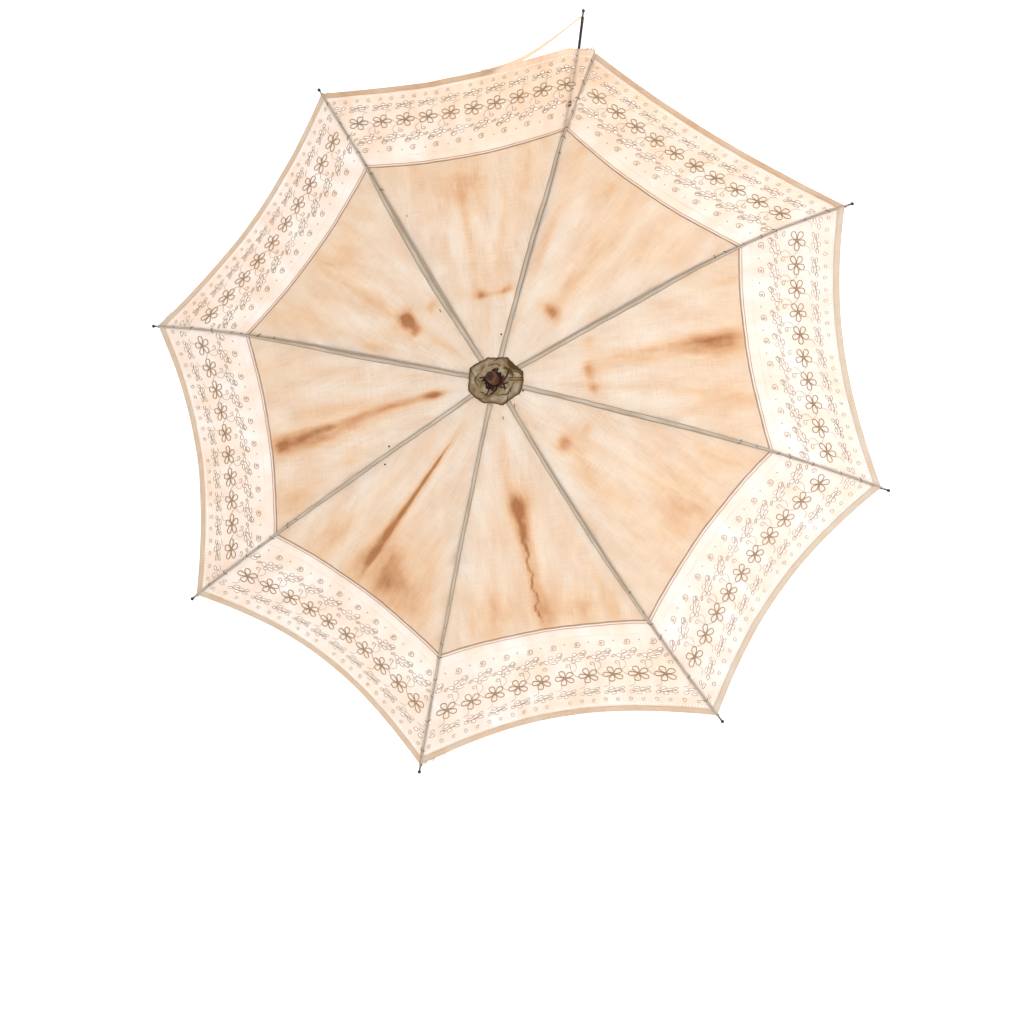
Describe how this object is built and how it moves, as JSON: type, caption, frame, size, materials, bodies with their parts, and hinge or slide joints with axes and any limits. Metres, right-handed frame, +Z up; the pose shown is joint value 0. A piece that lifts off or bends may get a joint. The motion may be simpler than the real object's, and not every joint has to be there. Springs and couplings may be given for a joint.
{
  "type": "lace parasol",
  "caption": "Open lady's parasol: wooden stick, folding steel rib frame with sliding runner, cotton gores edged with eyelet lace.",
  "frame": {"origin": "middle of the hand's grip on the handle, on the stick's axis", "axes": "+Z up the stick towards the ferrule, +X towards rib_1"},
  "size_m": [0.887, 0.875, 0.9149],
  "materials": {
    "stick_wood": "stained and waxed wooden stick, worn satin",
    "handle_wood": "turned dark hardwood, rubbed polish",
    "dark_horn": "dark horn button, dull gloss",
    "dull_brass": "lacquered brass gone dull, brown in the corners",
    "japanned_steel": "black japanned steel, rubbed grey on the edges, specks of rust",
    "rusty_iron": "rusted iron ferrule, matt red-brown with a dark end",
    "black_tip": "black enamelled metal, semi-gloss",
    "cream_cotton": "thin plain-weave cotton, cream, rust-tan stains running out from the crown",
    "eyelet_lace": "white-work eyelet embroidery on cotton, pinkish white with tan satin stitch",
    "greyed_cotton": "greyed doubled cotton, brown at the edges"
  },
  "bodies": {
    "stick": {"stick": "stick_wood", "handle": "handle_wood", "handle_collar": "dull_brass", "handle_butt": "dark_horn", "ferrule": "rusty_iron", "stop_pin": "dull_brass", "crown_notch": "dull_brass", "crown_wire": "japanned_steel", "rosette": "greyed_cotton"},
    "rib_1": {"rib_1": "japanned_steel", "rib_tip_1": "black_tip", "gore_1": "cream_cotton", "lace_border_1": "eyelet_lace"},
    "rib_2": {"rib_2": "japanned_steel", "rib_tip_2": "black_tip", "gore_2": "cream_cotton", "lace_border_2": "eyelet_lace"},
    "rib_3": {"rib_3": "japanned_steel", "rib_tip_3": "black_tip", "gore_3": "cream_cotton", "lace_border_3": "eyelet_lace"},
    "rib_4": {"rib_4": "japanned_steel", "rib_tip_4": "black_tip", "gore_4": "cream_cotton", "lace_border_4": "eyelet_lace"},
    "rib_5": {"rib_5": "japanned_steel", "rib_tip_5": "black_tip", "gore_5": "cream_cotton", "lace_border_5": "eyelet_lace"},
    "rib_6": {"rib_6": "japanned_steel", "rib_tip_6": "black_tip", "gore_6": "cream_cotton", "lace_border_6": "eyelet_lace"},
    "rib_7": {"rib_7": "japanned_steel", "rib_tip_7": "black_tip", "gore_7": "cream_cotton", "lace_border_7": "eyelet_lace"},
    "rib_8": {"rib_8": "japanned_steel", "rib_tip_8": "black_tip", "gore_8": "cream_cotton", "lace_border_8": "eyelet_lace"},
    "stretcher_1": {"stretcher_1": "japanned_steel"},
    "stretcher_2": {"stretcher_2": "japanned_steel"},
    "stretcher_3": {"stretcher_3": "japanned_steel"},
    "stretcher_4": {"stretcher_4": "japanned_steel"},
    "stretcher_5": {"stretcher_5": "japanned_steel"},
    "stretcher_6": {"stretcher_6": "japanned_steel"},
    "stretcher_7": {"stretcher_7": "japanned_steel"},
    "stretcher_8": {"stretcher_8": "japanned_steel"},
    "runner": {"runner": "dull_brass", "runner_wire": "japanned_steel"},
    "top_catch": {"top_catch": "japanned_steel"},
    "bottom_catch": {"bottom_catch": "japanned_steel"}
  },
  "joints": [
    {"name": "fold", "type": "hinge", "parent": "stick", "child": "rib_1", "pos_m": [0.009, 0, 0.775], "axis": [0, 1, 0], "range_deg": [0, 70], "deforming": ["gore_1", "lace_border_1", "top_catch", "bottom_catch"]},
    {"name": "rib_2_hinge", "type": "hinge", "parent": "stick", "child": "rib_2", "pos_m": [0.00636, -0.00636, 0.775], "axis": [0.7071, 0.7071, 0], "range_deg": [0, 70], "deforming": ["gore_2", "lace_border_2"]},
    {"name": "rib_3_hinge", "type": "hinge", "parent": "stick", "child": "rib_3", "pos_m": [0, -0.009, 0.775], "axis": [1, 0, 0], "range_deg": [0, 70], "deforming": ["gore_3", "lace_border_3"]},
    {"name": "rib_4_hinge", "type": "hinge", "parent": "stick", "child": "rib_4", "pos_m": [-0.00636, -0.00636, 0.775], "axis": [0.7071, -0.7071, 0], "range_deg": [0, 70], "deforming": ["gore_4", "lace_border_4"]},
    {"name": "rib_5_hinge", "type": "hinge", "parent": "stick", "child": "rib_5", "pos_m": [-0.009, 0, 0.775], "axis": [0, -1, 0], "range_deg": [0, 70], "deforming": ["gore_5", "lace_border_5"]},
    {"name": "rib_6_hinge", "type": "hinge", "parent": "stick", "child": "rib_6", "pos_m": [-0.00636, 0.00636, 0.775], "axis": [-0.7071, -0.7071, 0], "range_deg": [0, 70], "deforming": ["gore_6", "lace_border_6"]},
    {"name": "rib_7_hinge", "type": "hinge", "parent": "stick", "child": "rib_7", "pos_m": [0, 0.009, 0.775], "axis": [-1, 0, 0], "range_deg": [0, 70], "deforming": ["gore_7", "lace_border_7"]},
    {"name": "rib_8_hinge", "type": "hinge", "parent": "stick", "child": "rib_8", "pos_m": [0.00636, 0.00636, 0.775], "axis": [-0.7071, 0.7071, 0], "range_deg": [0, 70], "deforming": ["gore_8", "lace_border_8"]},
    {"name": "stretcher_1_hinge", "type": "hinge", "parent": "rib_1", "child": "stretcher_1", "pos_m": [0.2, 0, 0.733], "axis": [0, 1, 0], "range_deg": [-140, 0]},
    {"name": "stretcher_2_hinge", "type": "hinge", "parent": "rib_2", "child": "stretcher_2", "pos_m": [0.14142, -0.14142, 0.733], "axis": [0.7071, 0.7071, 0], "range_deg": [-140, 0]},
    {"name": "stretcher_3_hinge", "type": "hinge", "parent": "rib_3", "child": "stretcher_3", "pos_m": [0, -0.2, 0.733], "axis": [1, 0, 0], "range_deg": [-140, 0]},
    {"name": "stretcher_4_hinge", "type": "hinge", "parent": "rib_4", "child": "stretcher_4", "pos_m": [-0.14142, -0.14142, 0.733], "axis": [0.7071, -0.7071, 0], "range_deg": [-140, 0]},
    {"name": "stretcher_5_hinge", "type": "hinge", "parent": "rib_5", "child": "stretcher_5", "pos_m": [-0.2, 0, 0.733], "axis": [0, -1, 0], "range_deg": [-140, 0]},
    {"name": "stretcher_6_hinge", "type": "hinge", "parent": "rib_6", "child": "stretcher_6", "pos_m": [-0.14142, 0.14142, 0.733], "axis": [-0.7071, -0.7071, 0], "range_deg": [-140, 0]},
    {"name": "stretcher_7_hinge", "type": "hinge", "parent": "rib_7", "child": "stretcher_7", "pos_m": [0, 0.2, 0.733], "axis": [-1, 0, 0], "range_deg": [-140, 0]},
    {"name": "stretcher_8_hinge", "type": "hinge", "parent": "rib_8", "child": "stretcher_8", "pos_m": [0.14142, 0.14142, 0.733], "axis": [-0.7071, 0.7071, 0], "range_deg": [-140, 0]},
    {"name": "runner_hinge", "type": "hinge", "parent": "stretcher_1", "child": "runner", "pos_m": [0.009, 0, 0.691], "axis": [0, 1, 0], "range_deg": [0, 70]},
    {"name": "top_catch_press", "type": "hinge", "parent": "stick", "child": "top_catch", "pos_m": [0.0024, -0.001, 0.5831], "axis": [-0.3827, -0.9239, 0], "range_deg": [0, 5.5], "stiffness_Nm_per_rad": 0.03},
    {"name": "bottom_catch_press", "type": "hinge", "parent": "stick", "child": "bottom_catch", "pos_m": [0.0024, -0.001, 0.36021], "axis": [0.3827, 0.9239, 0], "range_deg": [0, 5.5], "stiffness_Nm_per_rad": 0.03}
  ],
  "couplings": [
    {"joint": "rib_2_hinge", "follows": "fold", "ratio": 1},
    {"joint": "rib_3_hinge", "follows": "fold", "ratio": 1},
    {"joint": "rib_4_hinge", "follows": "fold", "ratio": 1},
    {"joint": "rib_5_hinge", "follows": "fold", "ratio": 1},
    {"joint": "rib_6_hinge", "follows": "fold", "ratio": 1},
    {"joint": "rib_7_hinge", "follows": "fold", "ratio": 1},
    {"joint": "rib_8_hinge", "follows": "fold", "ratio": 1},
    {"joint": "stretcher_1_hinge", "follows": "fold", "ratio": -2},
    {"joint": "stretcher_2_hinge", "follows": "fold", "ratio": -2},
    {"joint": "stretcher_3_hinge", "follows": "fold", "ratio": -2},
    {"joint": "stretcher_4_hinge", "follows": "fold", "ratio": -2},
    {"joint": "stretcher_5_hinge", "follows": "fold", "ratio": -2},
    {"joint": "stretcher_6_hinge", "follows": "fold", "ratio": -2},
    {"joint": "stretcher_7_hinge", "follows": "fold", "ratio": -2},
    {"joint": "stretcher_8_hinge", "follows": "fold", "ratio": -2},
    {"joint": "runner_hinge", "follows": "fold", "ratio": 1}
  ]
}
